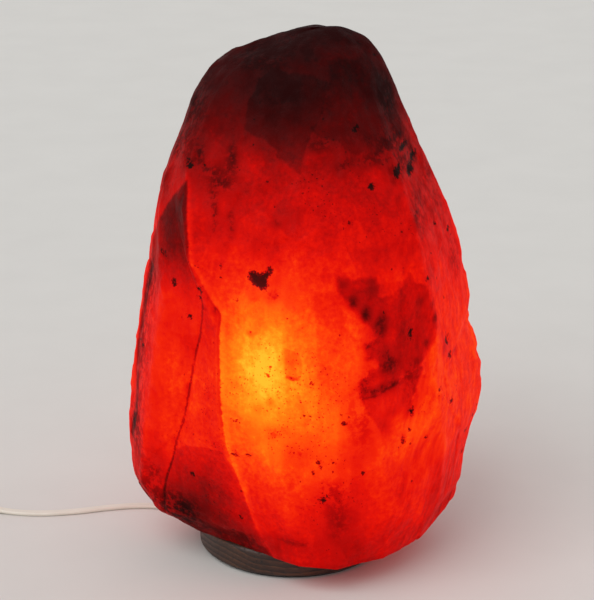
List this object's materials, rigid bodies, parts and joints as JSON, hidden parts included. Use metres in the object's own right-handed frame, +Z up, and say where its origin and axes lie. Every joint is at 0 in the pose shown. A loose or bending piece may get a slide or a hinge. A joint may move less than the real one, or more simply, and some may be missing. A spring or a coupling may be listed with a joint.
{
  "type": "salt crystal lamp",
  "caption": "Table lamp: a rough salt crystal, bored from below for a candle bulb, on a round wooden base, with a white flex, rocker switch and flat plug.",
  "frame": {"origin": "middle of the felt ring's underside, on the table", "axes": "+Z up along the bulb's axis, +X to the viewer's right, the viewer at -Y; the cord leaves towards -X, behind"},
  "size_m": [0.4436, 0.166, 0.298],
  "materials": {
    "rock_salt": "rough cleaved crystal, lit from inside",
    "dark_wood": "turned, dark satin stain",
    "black_felt": "pressed felt",
    "zinc_steel": "zinc plated",
    "grey_nylon": "moulded",
    "black_rubber": "moulded",
    "white_plastic": "moulded, soft gloss",
    "black_plastic": "moulded phenolic",
    "white_ceramic": "unglazed steatite",
    "plated_brass": "nickel plated",
    "contact_brass": "bright",
    "spring_steel": "drawn wire",
    "white_pvc": "extruded flex, soft gloss",
    "black_glass": "vitreous",
    "solder": "soft solder",
    "clear_glass": "clear",
    "lead_wire": "drawn wire",
    "hot_filament": "glowing"
  },
  "bodies": {
    "lamp": {"salt_crystal": "rock_salt", "wooden_base": "dark_wood", "felt_ring": "black_felt", "base_screws": "zinc_steel", "screw_anchors": "grey_nylon", "cord_grommet": "black_rubber", "holder_plate": "white_plastic", "holder_housing": "black_plastic", "holder_insert": "white_ceramic", "thread_shell": "plated_brass", "centre_contact": "contact_brass", "terminal_screws": "contact_brass", "plate_screws": "zinc_steel", "cord_clamp": "white_plastic", "clamp_screws": "zinc_steel", "spring_clips": "spring_steel", "cord_inside": "white_pvc", "cord_lamp_side": "white_pvc", "switch_base": "white_plastic", "switch_cover": "white_plastic", "rocker_pin": "spring_steel", "switch_terminals": "contact_brass", "switch_contact_leaves": "contact_brass", "switch_screws": "zinc_steel", "cord_switch_to_coil": "white_pvc", "cord_coil": "white_pvc", "cord_plug_side": "white_pvc", "plug_body": "white_plastic", "plug_pins": "plated_brass", "pin_sleeves": "black_plastic"},
    "rocker": {"switch_rocker": "white_plastic"},
    "bulb_foot": {"bulb_tip": "solder", "bulb_insulator": "black_glass"},
    "bulb": {"bulb_glass": "clear_glass", "bulb_cap": "plated_brass", "bulb_stem": "clear_glass", "bulb_leads": "lead_wire", "bulb_filament": "hot_filament"}
  },
  "joints": [
    {"name": "rocker_press", "type": "hinge", "parent": "lamp", "child": "rocker", "pos_m": [-0.227, 0.045, 0.0116], "axis": [0.1736, 0.9848, 0], "range_deg": [0, 16]},
    {"name": "bulb_rise", "type": "slide", "parent": "lamp", "child": "bulb_foot", "axis": [0, 0, 1], "range_m": [0, 0.0141]},
    {"name": "bulb_unscrew", "type": "hinge", "parent": "bulb_foot", "child": "bulb", "pos_m": [0, 0, 0.04], "axis": [0, 0, 1], "range_deg": [0, 1800]}
  ],
  "couplings": [
    {"joint": "bulb_rise", "follows": "bulb_unscrew", "m_per_rad": 0.00044882}
  ]
}
